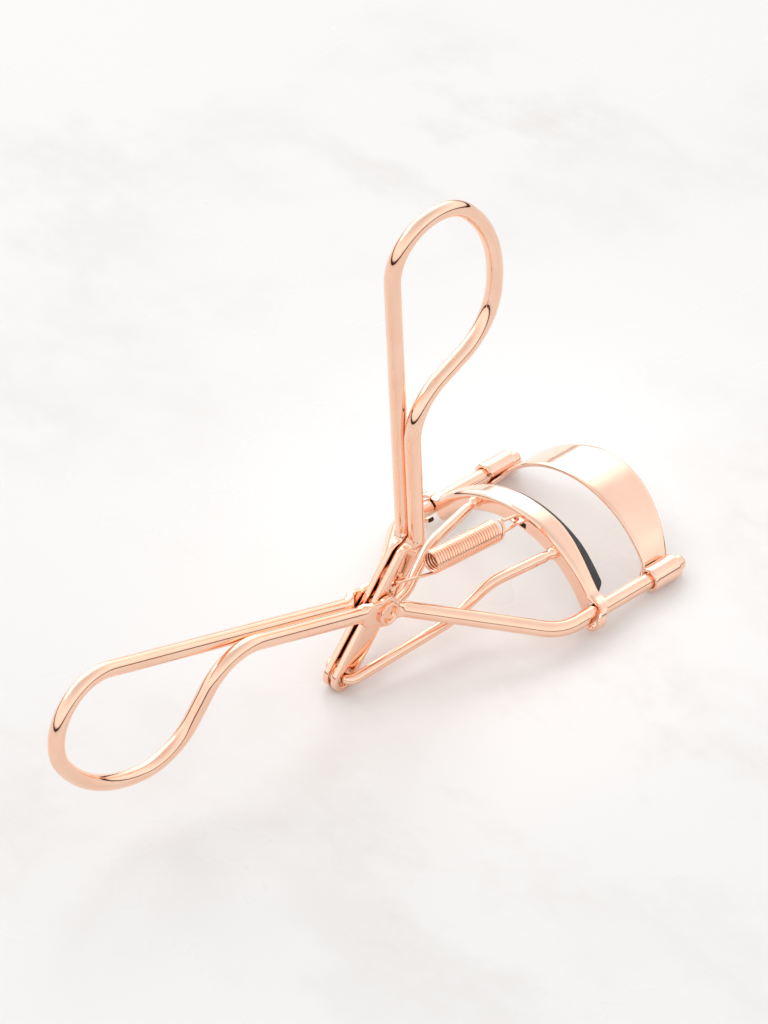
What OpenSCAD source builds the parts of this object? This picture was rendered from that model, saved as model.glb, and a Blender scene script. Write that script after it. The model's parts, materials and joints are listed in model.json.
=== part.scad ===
// Eyelash curler: a bent-wire frame and a bent-wire lever cross at one rivet. Squeezing the two
// finger loops swings the lever, whose lower end pushes a link wire, and the link slides the
// padded jaw along two guide rods against the fixed upper jaw. A tension spring opens it again.
//
// Tool axes: X forward along the guide rods, Y to the left, Z up, with the pivot axis along Y at
// the origin. tool_pose() then tips the tool so that it stands on the lever's foot and on the
// barrels of the upper jaw, with the standing surface at z = 0.

/* [Wire] */
// Diameter of the frame and lever wire
wire_d = 2.6; // [2.4:0.1:2.8]
// Diameter of the thin link wire
link_d = 1.8; // [1.6:0.1:1.9]
// Thickness of the jaw sheet metal
sheet = 0.7; // [0.6:0.05:0.8]

/* [Front frame] */
// Half of the distance between the two guide rods
rod_y = 17.8; // [17.4:0.1:18.2]
// Height of the guide rods, measured from the pivot axis
rod_z = -6.7; // [-7.2:0.1:-6.2]
// Where the frame arm's line meets the guide rod's line
arm_corner_x = 23.8; // [23:0.1:24.4]
// Radius of the bend from frame arm to guide rod
arm_bend_r = 9; // [7:0.5:10]
// Front end of the guide rods
rod_end_x = 51; // [50.9:0.1:51.4]

/* [Handles] */
// Direction of the frame handle, from straight ahead
frame_angle = 164.4; // [163:0.2:166]
// Direction of the lever handle, from straight ahead
lever_angle = 98.7; // [97:0.1:100]
// Direction of the lever plates, from straight ahead
plate_angle = 55.5; // [54.5:0.5:56.5]
// Distance from pivot to where the frame loop starts to curve
frame_reach = 58.6; // [56:0.2:60]
// Distance from the lever's bend to where its loop starts to curve
lever_reach = 50.6; // [48:0.2:53]
// Radius at the loop's outer end
loop_tip_r = 8.5; // [8:0.1:9]
// Radius of the loop's flat side
loop_side_r = 22; // [20:0.5:24]
// Radius where the loop turns back
loop_back_r = 10; // [9:0.25:11]
// Radius of the return bend that joins the two strands
loop_neck_r = 8.4; // [7.5:0.1:9]

/* [Lever plates] */
// Width of a lever plate
plate_w = 4.8; // [4.6:0.1:5]
// Thickness of a lever plate
plate_t = 1.1; // [1:0.05:1.15]
// Gap between the two lever plates
plate_gap = 0.6; // [0.5:0.05:0.8]
// Distance from pivot to the link hole
link_hole_s = 12.2; // [12:0.1:12.4]
// Distance from pivot to the spring hole
spring_hole_s = 4.7; // [4.5:0.1:4.9]

/* [Pivot rivet] */
// Shank diameter
rivet_d = 2.2; // [2:0.1:2.3]
// Head diameter
rivet_head_d = 4.2; // [4:0.1:4.4]

/* [Moving jaw] */
// Outer radius of the jaw's arch
jaw_r = 21.4; // [21.2:0.1:21.8]
// Height of the arch's crown, measured from the pivot axis
jaw_crown_z = 3.2; // [3:0.1:3.4]
// Rear face of the jaw's web
jaw_x = 31.1; // [30.9:0.1:31.3]
// Height of the web, from flange to flange
web_h = 3.4; // [3.3:0.1:3.6]
// Width of the outer flange
flange_w = 3.6; // [3.4:0.1:3.8]
// Front face of the pad
pad_x = 36.1; // [35.9:0.1:36.3]

/* [Upper jaw] */
// Rear, pressing edge of the upper jaw
upper_x = 45; // [44.8:0.1:45.4]
// Depth of the upper jaw at its crown
upper_depth = 9; // [8.8:0.1:9.4]
// Height of its crown, measured from the pivot axis
upper_crown_z = 2.5; // [2.3:0.1:2.6]
// How much shallower the upper jaw is at the guide rods than at its crown
upper_sag = 5.4; // [5.2:0.1:5.8]

/* [Spring] */
// Outer diameter of the coil
coil_d = 3.9; // [3.7:0.1:4]
// Spring wire diameter
spring_wire_d = 0.55; // [0.5:0.05:0.6]
// Length of the coil with the jaws open
coil_len = 14.8; // [14:0.1:15.2]
// Distance from the spring hole to the coil
coil_start = 7.9; // [7.6:0.1:8.2]

/* [Hidden] */
$fn = 64;

rose_gold = "#e6b09a";
pad_grey = "#3a3a3c";

press = 0.02;              // interference of crimped and riveted joints
running = 0.06;            // radial clearance of a turning or sliding joint
strand_y = wire_d / 2 + 0.1;
paddle_in = plate_gap / 2 + plate_t + 0.1;
paddle_out = strand_y + wire_d / 2;
paddle_t = paddle_out - paddle_in;
arm_swell = 0.03;          // the bent arm against the rod's end, which lies inside it
far = 80;                  // longer than any cut
paddle_h = 4;              // height of the stamped flat behind the pivot
paddle_out_x = 10;         // ahead of the pivot, the arm is no longer cut back to the plates
paddle_back = 8;           // length of the stamped flat behind the pivot
eye_r = 2.7;               // round eye of the stamped flat
arm_start = [2.2, -1.2];   // x and z where the round arm leaves the eye

// Finger loop, as a chain of [radius, angle] bends and [0, length] straights. It turns half a
// turn to its lowest point, then turns on and bends back until the two strands lie side by side.
tip_turn = 140;
back_turn = 66;
side_turn_1 = 180 - tip_turn;
side_turn_2 = 10;
neck_turn = side_turn_2 + back_turn;
loop_w = loop_tip_r * (1 - cos(tip_turn)) + loop_side_r * (cos(tip_turn) + 1);
loop_t = (loop_tip_r - loop_side_r) * sin(tip_turn);
turned_w = loop_side_r * (1 - cos(side_turn_2))
         + loop_back_r * (cos(side_turn_2) - cos(neck_turn));
neck_w = loop_neck_r * (1 - cos(neck_turn));
return_len = (loop_w - turned_w - neck_w) / sin(neck_turn);
return_t = loop_side_r * sin(side_turn_2) + loop_back_r * (sin(neck_turn) - sin(side_turn_2))
         + return_len * cos(neck_turn) + loop_neck_r * sin(neck_turn);
out_bends = [[loop_tip_r, tip_turn], [loop_side_r, side_turn_1]];
back_bends = [[loop_side_r, side_turn_2], [loop_back_r, back_turn], [0, return_len],
              [-loop_neck_r, neck_turn]];
bend_step = 8;             // largest angle between two rings of a swept wire
ring_sides = 18;           // sides of a swept wire
link_sides = 24;           // sides of the link wire and of its ball joints

lever_bend_r = 4;
lever_turn = lever_angle - plate_angle;
lever_bend_s = 11.8;       // along the plates, where the two directions cross
lever_tangent = lever_bend_r * tan(lever_turn / 2);
plate_top_s = lever_bend_s - lever_tangent;
plate_end_r = plate_w / 2;
link_hole_d = link_d + 1.6; // wide, for a crossbar that wanders as the lever swings
spring_hole_d = 1.9;

jaw_cz = jaw_crown_z - jaw_r;
jaw_half_angle = asin(rod_y / jaw_r);
eyelet_r = 2.4;            // the hooked end stands off the rod, down and outward
eyelet_off = 0.2;
eyelet_back = 1.4;         // how far the eyelet reaches behind the web
eyelet_len = 2.5;
web_half_angle = jaw_half_angle - 4;
inner_flange_angle = 46;
inner_flange_w = flange_w - 1;
pad_half_angle = 51;
lug_len = 2.2;
lug_w = 2.6;
lug_z = jaw_crown_z - 1.3;
lug_hole_x = jaw_x - 1.2;
lug_hole_d = 1.3;
knuckle_r = 1.05;
knuckle_hole_len = 1.8;
knuckle = [jaw_x - 0.4, 8.5, -0.4];
joint_swell = 1.06;        // ball joints against their wire
rod_tip_d = 1.7;
rod_tip_len = 0.6;
rod_overlap = 1;
link_wide_y = 2.35;        // half width of the link's rear, straight part
link_bends = [[12.5, 4.8, -6.6], [18.9, 6.5, -1.45]];

barrel_r = wire_d / 2 + sheet + 0.05;
upper_side_y = rod_y - wire_d / 2 - sheet / 2;
upper_rise = upper_crown_z - rod_z;
upper_r = (upper_side_y * upper_side_y + upper_rise * upper_rise) / (2 * upper_rise);
upper_cz = upper_crown_z - upper_r;
upper_half_angle = asin(upper_side_y / upper_r);
barrel_x = upper_x - 1.3;   // rear and front end of the rolled barrels
barrel_end_x = rod_end_x - 1.7;
front_r = (rod_y * rod_y + upper_sag * upper_sag) / (2 * upper_sag);

along_plate = [cos(plate_angle), 0, sin(plate_angle)];
link_hole = -link_hole_s * along_plate;
spring_hole = spring_hole_s * along_plate;
lug_hole = [lug_hole_x, 0, lug_z];
spring_span = norm(lug_hole - spring_hole);
spring_angle = atan2(lug_hole[2] - spring_hole[2], lug_hole[0] - spring_hole[0]);
coil_end = coil_start + coil_len;
spring_y = -1;             // the coil and the lug lie a little to the right
rear_leg_y = 1.72;         // just outside the lever plates
rear_leg_z = -1.5;         // where the rear leg joins the coil
front_leg_z = 1;           // above and below the lug
front_leg_start_z = 1.3;   // above and below the coil's line

// Standing pose: the line under the lever's foot and the front lower corner of the barrels.
foot = [link_hole[0], link_hole[2]];
front_corner = [barrel_end_x, rod_z - barrel_r];
reach_vec = front_corner - foot;
pitch = atan2(reach_vec[1], reach_vec[0]) + asin(plate_end_r / norm(reach_vec));
stand_z = plate_end_r + foot[0] * sin(pitch) - foot[1] * cos(pitch);
centre_x = 6.93;           // from the middle of the tool's length to the pivot

// Places the tool on its standing surface, with the middle of its length at x = 0.
module tool_pose() {
    translate([centre_x, 0, stand_z]) rotate([0, pitch, 0]) children();
}

// Sets a drawing made in the XY plane upright, with its X axis at an angle above straight ahead.
module upright(angle) {
    rotate([0, -angle, 0]) rotate([90, 0, 0]) children();
}

// The station [x, y, heading] reached from another by one bend or straight.
function stepped(at, item) =
    item[0] == 0 ? [at[0] + item[1] * cos(at[2]), at[1] + item[1] * sin(at[2]), at[2]]
    : let (h = at[2] + sign(item[0]) * item[1])
        [at[0] + item[0] * (sin(h) - sin(at[2])), at[1] - item[0] * (cos(h) - cos(at[2])), h];

// A chain with its bends cut into short steps.
function cut_up(chain) = [
    for (item = chain) let (n = item[0] == 0 ? 1 : ceil(item[1] / bend_step))
        for (k = [1 : n]) [item[0], item[1] / n]];

// All stations of a cut-up chain, from its start.
function stations(at, items, i = 0) =
    i == len(items) ? [at] : concat([at], stations(stepped(at, items[i]), items, i + 1));

// How far a strand lies from the middle plane: less and less towards the loop's lowest point.
function lean(y) = strand_y * (1 - max(y, 0) / loop_w);

// One wire with a finger loop, drawn outward along +X with the loop's belly towards +Y. The
// straight strand lies at -strand_y and the returning one at +strand_y.
module handle_wire(from, lead_in, reach, inner_len, lead_out) {
    out_path = stations(from, cut_up(concat(lead_in, [[0, reach - inner_len]], out_bends)));
    turn_at = out_path[len(out_path) - 1];
    back_path = stations(turn_at, cut_up(concat(back_bends,
        [[0, reach + loop_t - return_t - inner_len]], lead_out)));
    rings = concat([for (at = out_path) [at[0], at[1], -lean(at[1]), at[2]]],
                   [for (i = [1 : len(back_path) - 1]) let (at = back_path[i])
                       [at[0], at[1], lean(at[1]), at[2]]]);
    swept_wire(rings, wire_d / 2);
}

// A faceted round wire through rings, each given as [x, y, z, heading in the XY plane].
module swept_wire(rings, r) {
    count = len(rings);
    polyhedron(
        points = [for (at = rings) for (k = [0 : ring_sides - 1])
            let (a = 360 * k / ring_sides, out = r * cos(a))
                [at[0] - out * sin(at[3]), at[1] + out * cos(at[3]), at[2] + r * sin(a)]],
        faces = concat(
            [[for (k = [0 : ring_sides - 1]) k]],
            [[for (k = [ring_sides - 1 : -1 : 0]) (count - 1) * ring_sides + k]],
            [for (i = [0 : count - 2]) for (k = [0 : ring_sides - 1])
                let (a = i * ring_sides + k, b = i * ring_sides + (k + 1) % ring_sides)
                    [a, a + ring_sides, b + ring_sides, b]]));
}

// A straight round wire between two points.
module strut(from, to, d) {
    step = to - from;
    translate(from) rotate([0, acos(step[2] / norm(step)), atan2(step[1], step[0])])
        cylinder(d = d, h = norm(step));
}

// A round wire through a list of points, with slightly proud ball joints.
module jointed_wire(points, d) {
    for (i = [1 : len(points) - 1]) strut(points[i - 1], points[i], d);
    for (i = [1 : len(points) - 2]) translate(points[i]) sphere(d = joint_swell * d);
}

// A bore along Y.
module cross_bore(d, at) {
    translate([at[0], 0, at[2]]) rotate([90, 0, 0]) cylinder(d = d, h = 20, center = true);
}

// A band bent round the X axis: radial section r_in to r_out, from x0, over an angle each way.
module arch(r_in, r_out, x0, depth, half_angle, cz) {
    translate([x0, 0, cz]) rotate([0, 90, 0]) rotate([0, 0, 180 - half_angle])
        rotate_extrude(angle = 2 * half_angle) translate([r_in, 0]) square([r_out - r_in, depth]);
}

module frame_handle() {
    color(rose_gold) tool_pose() upright(frame_angle)
        handle_wire([paddle_back, 0, 0], [], frame_reach, paddle_back, []);
}

// One stamped eye, frame arm and guide rod, drawn on the right-hand side. The bent arm is a
// little thicker than the rod, so that the rod's round end lies inside it.
module frame_side() {
    arm = [arm_corner_x - arm_start[0], rod_y - strand_y, arm_start[1] - rod_z];
    arm_angle = atan2(norm([arm[1], arm[2]]), arm[0]);
    tangent = arm_bend_r * tan(arm_angle / 2);
    rod_len = rod_end_x - arm_corner_x - tangent;
    arm_path = stations([rod_len - rod_overlap, 0, 0], cut_up([[0, rod_overlap],
        [arm_bend_r, arm_angle], [0, norm(arm) - tangent]]));
    difference() {
        union() {
            translate([rod_end_x, -rod_y, rod_z]) rotate([atan2(arm[2], arm[1]), 0, 0])
                mirror([1, 0, 0]) {
                    rotate([0, 90, 0]) cylinder(d = wire_d, h = rod_len);
                    swept_wire([for (at = arm_path) [at[0], at[1], 0, at[2]]],
                               (wire_d / 2 + arm_swell) / cos(180 / ring_sides));
                    translate([-rod_tip_len, 0, 0]) rotate([0, 90, 0])
                        cylinder(d = rod_tip_d, h = rod_tip_len + rod_overlap);
                }
            translate([0, -paddle_in, 0]) upright(frame_angle) linear_extrude(paddle_t) {
                circle(r = eye_r);
                translate([0, -paddle_h / 2]) square([paddle_back, paddle_h]);
            }
        }
        cross_bore(rivet_d, [0, 0, 0]);
        translate([-far / 2, -paddle_in, -far / 2]) cube([far / 2 + paddle_out_x, far, far]);
    }
}

module frame_arm_right() {
    color(rose_gold) tool_pose() frame_side();
}

module frame_arm_left() {
    color(rose_gold) tool_pose() mirror([0, 1, 0]) frame_side();
}

// The fixed jaw: an arched visor whose two ends are rolled round the guide rods.
module upper_jaw() {
    color(rose_gold) tool_pose() difference() {
        union() {
            intersection() {
                arch(upper_r - sheet, upper_r, upper_x, upper_depth + 1, upper_half_angle, upper_cz);
                translate([upper_x + upper_depth - front_r, 0, 0])
                    cylinder(r = front_r, h = far, center = true);
            }
            for (side = [-1, 1])
                translate([barrel_x, side * rod_y, rod_z]) rotate([0, 90, 0])
                    cylinder(r = barrel_r, h = barrel_end_x - barrel_x);
        }
        for (side = [-1, 1])
            translate([0, side * rod_y, rod_z]) rotate([0, 90, 0])
                cylinder(r = wire_d / 2 - press, h = far);
    }
}

// Semi-tubular rivet through the two frame eyes and the two lever plates.
module pivot_rivet() {
    head_t = 0.7;
    hollow_d = 1.2;
    hollow_depth = 1;
    color(rose_gold) tool_pose() rotate([90, 0, 0]) difference() {
        union() {
            cylinder(d = rivet_d + 2 * press, h = 2 * paddle_out, center = true);
            for (side = [0, 1]) mirror([0, 0, side])
                translate([0, 0, paddle_out]) cylinder(d = rivet_head_d, h = head_t);
        }
        translate([0, 0, paddle_out - hollow_depth]) cylinder(d = hollow_d, h = far);
    }
}

module lever_handle() {
    color(rose_gold) tool_pose()
        translate(lever_bend_s * along_plate) upright(lever_angle) mirror([0, 1, 0])
            handle_wire([-lever_tangent * cos(lever_turn), -lever_tangent * sin(lever_turn),
                         lever_turn],
                        [[-lever_bend_r, lever_turn]], lever_reach, lever_tangent,
                        [[lever_bend_r, lever_turn]]);
}

// One flattened end of the lever wire, drawn on the right-hand side.
module lever_plate() {
    difference() {
        upright(plate_angle) translate([0, 0, plate_gap / 2]) {
            translate([-link_hole_s, -plate_w / 2, 0])
                cube([link_hole_s + plate_top_s, plate_w, plate_t]);
            translate([-link_hole_s, 0, 0]) cylinder(r = plate_end_r, h = plate_t);
        }
        cross_bore(rivet_d + 2 * running, [0, 0, 0]);
        cross_bore(link_hole_d, link_hole);
        cross_bore(spring_hole_d, spring_hole);
    }
}

module lever_plate_right() {
    color(rose_gold) tool_pose() lever_plate();
}

module lever_plate_left() {
    color(rose_gold) tool_pose() mirror([0, 1, 0]) lever_plate();
}

// The U-shaped link: its crossbar runs in the lever's lower holes, its ends in the jaw's web.
module link_wire() {
    $fn = link_sides;
    half = [knuckle, link_bends[1], link_bends[0], [link_hole[0], link_wide_y, link_hole[2]]];
    color(rose_gold) tool_pose() {
        jointed_wire(concat(half, [for (i = [len(half) - 1 : -1 : 0])
            [half[i][0], -half[i][1], half[i][2]]]), link_d);
        for (side = [-1, 1])
            translate([knuckle[0], side * knuckle[1], knuckle[2]]) sphere(r = knuckle_r);
    }
}

// The sliding jaw: an arched channel with open eyelets on the guide rods and a spring lug.
module moving_jaw() {
    color(rose_gold) tool_pose() difference() {
        union() {
            arch(jaw_r - sheet, jaw_r, jaw_x, flange_w, jaw_half_angle, jaw_cz);
            arch(jaw_r - web_h, jaw_r, jaw_x, sheet, web_half_angle, jaw_cz);
            arch(jaw_r - web_h, jaw_r - web_h + sheet, jaw_x, inner_flange_w, inner_flange_angle,
                 jaw_cz);
            for (side = [-1, 1])
                translate([jaw_x - eyelet_back, side * (rod_y + eyelet_off), rod_z - eyelet_off])
                    rotate([0, 90, 0]) cylinder(r = eyelet_r, h = eyelet_len);
            translate([jaw_x - lug_len, spring_y - lug_w / 2, lug_z - sheet / 2])
                cube([lug_len + sheet / 2, lug_w, sheet]);
        }
        for (side = [-1, 1])
            translate([0, side * rod_y, rod_z]) rotate([0, 90, 0])
                cylinder(d = wire_d + 2 * running, h = far);
        translate([lug_hole_x, spring_y, 0]) cylinder(d = lug_hole_d, h = 20, center = true);
        for (side = [-1, 1]) translate([knuckle[0], side * knuckle[1], knuckle[2]])
            rotate([0, 90, 0]) cylinder(r = knuckle_r + running, h = knuckle_hole_len);
    }
}

module lash_pad() {
    color(pad_grey) tool_pose()
        arch(jaw_r - web_h + sheet - press, jaw_r - sheet + press, jaw_x + sheet,
             pad_x - jaw_x - sheet, pad_half_angle, jaw_cz);
}

// Lays a drawing made along +X on the spring's line, with its origin at the spring hole.
module on_spring_line() {
    translate(spring_hole) rotate([0, -spring_angle, 0]) children();
}

module spring_coil() {
    color(rose_gold) tool_pose() on_spring_line() translate([coil_start, spring_y, 0])
        rotate([0, 90, 0]) difference() {
            cylinder(d = coil_d, h = coil_len);
            translate([0, 0, -1]) cylinder(d = coil_d - 2 * spring_wire_d, h = coil_len + 2);
        }
}

// Straight leg from the coil, with its end turned through the lever's spring hole.
module spring_rear_hook() {
    color(rose_gold) tool_pose() on_spring_line() {
        rotate([90, 0, 0]) cylinder(d = spring_wire_d, h = 2 * rear_leg_y, center = true);
        translate([0, -rear_leg_y, 0]) sphere(d = joint_swell * spring_wire_d);
        strut([0, -rear_leg_y, 0], [coil_start, -rear_leg_y, rear_leg_z], spring_wire_d);
    }
}

// Two long legs from the coil that meet in the lug's hole.
module spring_front_hook() {
    color(rose_gold) tool_pose() on_spring_line() translate([0, spring_y, 0]) {
        translate([spring_span, 0, 0]) rotate([0, spring_angle, 0])
            cylinder(d = spring_wire_d, h = 2 * front_leg_z + spring_wire_d, center = true);
        for (side = [-1, 1])
            strut([coil_end, 0, side * front_leg_start_z], [spring_span, 0, side * front_leg_z],
                  spring_wire_d);
    }
}

frame_handle();
frame_arm_right();
frame_arm_left();
upper_jaw();
pivot_rivet();
lever_handle();
lever_plate_right();
lever_plate_left();
link_wire();
moving_jaw();
lash_pad();
spring_coil();
spring_rear_hook();
spring_front_hook();
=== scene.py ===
"""Looks for the eyelash curler: smooth wires, formed sheet jaws, a wound spring and a soft pad."""
import json
import math
import bmesh
import bpy
from mathutils import Matrix, Vector

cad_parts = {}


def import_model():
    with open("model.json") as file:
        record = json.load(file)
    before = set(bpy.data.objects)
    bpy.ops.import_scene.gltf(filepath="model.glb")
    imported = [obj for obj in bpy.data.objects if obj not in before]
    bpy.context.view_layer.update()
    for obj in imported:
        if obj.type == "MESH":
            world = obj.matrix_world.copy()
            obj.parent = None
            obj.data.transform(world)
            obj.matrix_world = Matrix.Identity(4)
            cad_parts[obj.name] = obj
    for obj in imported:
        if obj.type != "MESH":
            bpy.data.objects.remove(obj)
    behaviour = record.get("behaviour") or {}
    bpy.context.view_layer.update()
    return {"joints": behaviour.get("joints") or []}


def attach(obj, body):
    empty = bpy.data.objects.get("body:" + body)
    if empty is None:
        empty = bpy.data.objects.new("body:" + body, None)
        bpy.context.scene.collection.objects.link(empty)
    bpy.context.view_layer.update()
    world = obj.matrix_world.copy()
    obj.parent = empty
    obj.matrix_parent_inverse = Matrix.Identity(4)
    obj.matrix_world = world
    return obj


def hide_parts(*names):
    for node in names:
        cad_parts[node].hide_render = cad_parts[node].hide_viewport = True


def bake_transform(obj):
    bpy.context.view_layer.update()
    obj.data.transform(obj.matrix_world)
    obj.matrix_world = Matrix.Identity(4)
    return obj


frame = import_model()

# ---------------------------------------------------------------- tool frame
# Shapes are drawn in the tool's own frame in millimetres: X along the guide rods, Y to the left,
# Z up, origin on the pivot axis. TOOL takes them to the row frame in metres.
JOINTS = {j["name"]: j for j in frame["joints"]}
PIVOT = Vector(JOINTS["lever_pivot"]["pos_m"])
SLIDE = Vector(JOINTS["jaw_slide"]["axis"])
PITCH = math.atan2(-SLIDE.z, SLIDE.x)
TOOL = Matrix.Translation(PIVOT) @ Matrix.Rotation(PITCH, 4, "Y") @ Matrix.Scale(0.001, 4)

WIRE = 1.3                              # radius of the frame and lever wire
STRAND_Y = 1.4                          # how far a strand lies from the middle plane
ROD_Y, ROD_Z, ROD_TIP = 17.8, -6.7, 51.6
FRAME_ANGLE, LEVER_ANGLE, PLATE_ANGLE = (math.radians(a) for a in (164.4, 98.7, 55.5))
# Along the lever's plates from the pivot: the link's holes (below), the spring's, the bend.
LINK_HOLE_S, SPRING_HOLE_S, BEND_S = 12.2, 4.7, 11.8
SPRING_Y = -1.0                         # the spring and its lug lie a little to the right
SHEET = 0.7                             # thickness of the jaws' sheet
JAW_X, JAW_R, JAW_CZ = 31.1, 21.4, -18.2     # the moving jaw's web, outer radius and axis
LUG_HOLE = Vector((JAW_X - 0.85, 0, 2.0))
UPPER_X, BARREL_X, BARREL_END = 45.0, 43.7, 49.3
EYELET_OFF = 0.2                        # how far an eyelet's axis lies outside its rod's


def at_tool(p):
    return TOOL @ Vector(p)


def mirrored(p, side=-1):
    """The point on the tool's left for a side of 1, on its right for -1."""
    return Vector((p[0], side * p[1], p[2]))


def smooth(t):
    """Eases from 0 to 1 while t goes from 0 to 1."""
    t = max(0.0, min(1.0, t))
    return t * t * (3 - 2 * t)


def mix(a, b, t):
    return a + (b - a) * t


def cosd(a):
    return math.cos(math.radians(a))


def sind(a):
    return math.sin(math.radians(a))


# ---------------------------------------------------------------- mesh helpers
def finish_shading(mesh, sharp):
    """Smooth shading, with edges over the sharp angle (degrees) kept crisp."""
    mesh.polygons.foreach_set("use_smooth", [True] * len(mesh.polygons))
    mesh.set_sharp_from_angle(angle=math.radians(sharp))
    mesh.update()


def new_object(name, verts, faces):
    """An object from points in the tool frame, welded and with its normals turned outwards."""
    mesh = bpy.data.meshes.new(name)
    mesh.from_pydata([at_tool(v) for v in verts], [], faces)
    bm = bmesh.new()
    bm.from_mesh(mesh)
    bmesh.ops.remove_doubles(bm, verts=bm.verts, dist=1e-7)
    bmesh.ops.recalc_face_normals(bm, faces=bm.faces)
    bm.to_mesh(mesh)
    bm.free()
    obj = bpy.data.objects.new(name, mesh)
    bpy.context.scene.collection.objects.link(obj)
    return obj


def piece(name, verts, faces, body, mat, nodes=(), sharp=40):
    """A piece that rides on a body; without one, it rides on none."""
    obj = new_object(name, verts, faces)
    finish_shading(obj.data, sharp)
    obj.data.materials.append(mat)
    if body:
        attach(obj, body)
    if nodes:
        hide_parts(*nodes)
    return obj


def grid_faces(rows, cols):
    """Quads between closed rings of points, with one face closing each end."""
    faces = []
    for i in range(rows - 1):
        for k in range(cols):
            a, b = i * cols + k, i * cols + (k + 1) % cols
            faces.append((a, b, b + cols, a + cols))
    faces.append(tuple(range(cols - 1, -1, -1)))
    faces.append(tuple((rows - 1) * cols + k for k in range(cols)))
    return faces


def box_mesh(lo, hi):
    verts = [(x, y, z) for x in (lo[0], hi[0]) for y in (lo[1], hi[1]) for z in (lo[2], hi[2])]
    faces = [(0, 1, 3, 2), (4, 6, 7, 5), (0, 4, 5, 1), (2, 3, 7, 6), (0, 2, 6, 4), (1, 5, 7, 3)]
    return verts, faces


def cylinder_mesh(start, end, r, sides, flare=0.0, flare_len=0.0):
    """A closed cylinder, or one whose ends flare out, for cutting holes with softened rims."""
    start, end = Vector(start), Vector(end)
    axis = (end - start).normalized()
    e1 = axis.orthogonal().normalized()
    e2 = axis.cross(e1)
    length = (end - start).length
    stops = [(0, r), (length, r)]
    if flare:
        stops = [(0, r + flare), (flare_len, r), (length - flare_len, r), (length, r + flare)]
    verts = []
    for s, rad in stops:
        for k in range(sides):
            a = 2 * math.pi * k / sides
            verts.append(start + axis * s + e1 * rad * math.cos(a) + e2 * rad * math.sin(a))
    return verts, grid_faces(len(stops), sides)


def cut(obj, verts, faces, sharp=40):
    """Cuts a closed shape, given in the tool frame, out of a piece."""
    cutter = new_object("cutter", verts, faces)
    modifier = obj.modifiers.new("cut", "BOOLEAN")
    modifier.operation = "DIFFERENCE"
    modifier.solver = "EXACT"
    modifier.object = cutter
    bpy.context.view_layer.update()
    depsgraph = bpy.context.evaluated_depsgraph_get()
    made = bpy.data.meshes.new_from_object(obj.evaluated_get(depsgraph))
    obj.modifiers.clear()
    obj.data = made
    bpy.data.objects.remove(cutter)
    finish_shading(made, sharp)


# ---------------------------------------------------------------- paths and sweeps
BEND_STEP, STRAIGHT_STEP = 5.0, 1.5     # degrees and millimetres between a path's points


def chain_path(start, chain):
    """Points (x, w, heading) of a plane path.

    The chain holds bends [radius, angle], to the left for a positive radius, and straights
    [0, length].
    """
    x, w, h = start
    out = [(x, w, h)]
    for radius, amount in chain:
        if radius == 0:
            n = max(1, math.ceil(amount / STRAIGHT_STEP))
            for _ in range(n):
                x += amount / n * math.cos(h)
                w += amount / n * math.sin(h)
                out.append((x, w, h))
        else:
            n = math.ceil(amount / BEND_STEP)
            for _ in range(n):
                h2 = h + math.copysign(math.radians(amount / n), radius)
                x += radius * (math.sin(h2) - math.sin(h))
                w -= radius * (math.cos(h2) - math.cos(h))
                h = h2
                out.append((x, w, h))
    return out


def filleted(points, radii, step, straight_step=STRAIGHT_STEP):
    """A space polyline with its inner corners rounded to the given radii."""
    pts = [Vector(p) for p in points]
    out = [pts[0]]

    def run_to(target):
        here = out[-1]
        length = (target - here).length
        n = max(1, math.ceil(length / straight_step))
        for k in range(1, n + 1):
            out.append(here.lerp(target, k / n))

    for i in range(1, len(pts) - 1):
        a = (pts[i - 1] - pts[i]).normalized()
        b = (pts[i + 1] - pts[i]).normalized()
        turn = math.pi - a.angle(b)
        r = radii[i - 1]
        t = r * math.tan(turn / 2)
        centre = pts[i] + (a + b).normalized() * (r / math.cos(turn / 2))
        run_to(pts[i] + a * t)
        n = max(1, math.ceil(math.degrees(turn) / step))
        p0, p1 = pts[i] + a * t - centre, pts[i] + b * t - centre
        for k in range(1, n + 1):
            f = k / n
            out.append(centre + (p0 * math.sin((1 - f) * turn) + p1 * math.sin(f * turn))
                       / math.sin(turn))
    run_to(pts[-1])
    return out


def squircle(a, b, n, sides, dv=0.0):
    """A ring of (u, v): an ellipse for n = 2, nearly a rectangle for large n."""
    ring = []
    for k in range(sides):
        t = 2 * math.pi * (k + 0.5) / sides
        c, s = math.cos(t), math.sin(t)
        if n > 2.01:
            d = (abs(c) ** n + abs(s) ** n) ** (1 / n)
            c, s = c / d, s / d
        ring.append((a * c, dv + b * s))
    return ring


def tangents(pts):
    last = len(pts) - 1
    return [(pts[min(last, i + 1)] - pts[max(0, i - 1)]).normalized() for i in range(last + 1)]


def lateral_frames(pts):
    """Ring frames with one axis in the bending plane and one as near +Y as it can be."""
    frames = []
    for t in tangents(pts):
        e2 = (Vector((0, 1, 0)) - t * t.y).normalized()
        frames.append((e2.cross(t), e2))
    return frames


def transported_frames(pts, first):
    """Ring frames carried along the path without twist."""
    frames, e1 = [], Vector(first)
    for t in tangents(pts):
        e1 = (e1 - t * e1.dot(t)).normalized()
        frames.append((e1, t.cross(e1)))
    return frames


def sweep(pts, frames, rings):
    """A closed tube: one ring of (u, v) at each point of the path."""
    verts = []
    for p, (e1, e2), ring in zip(pts, frames, rings):
        verts.extend(p + e1 * u + e2 * v for u, v in ring)
    return verts, grid_faces(len(pts), len(rings[0]))


def lengths(pts):
    """Distance along the path to each of its points."""
    s = [0.0]
    for a, b in zip(pts, pts[1:]):
        s.append(s[-1] + (b - a).length)
    return s


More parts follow.
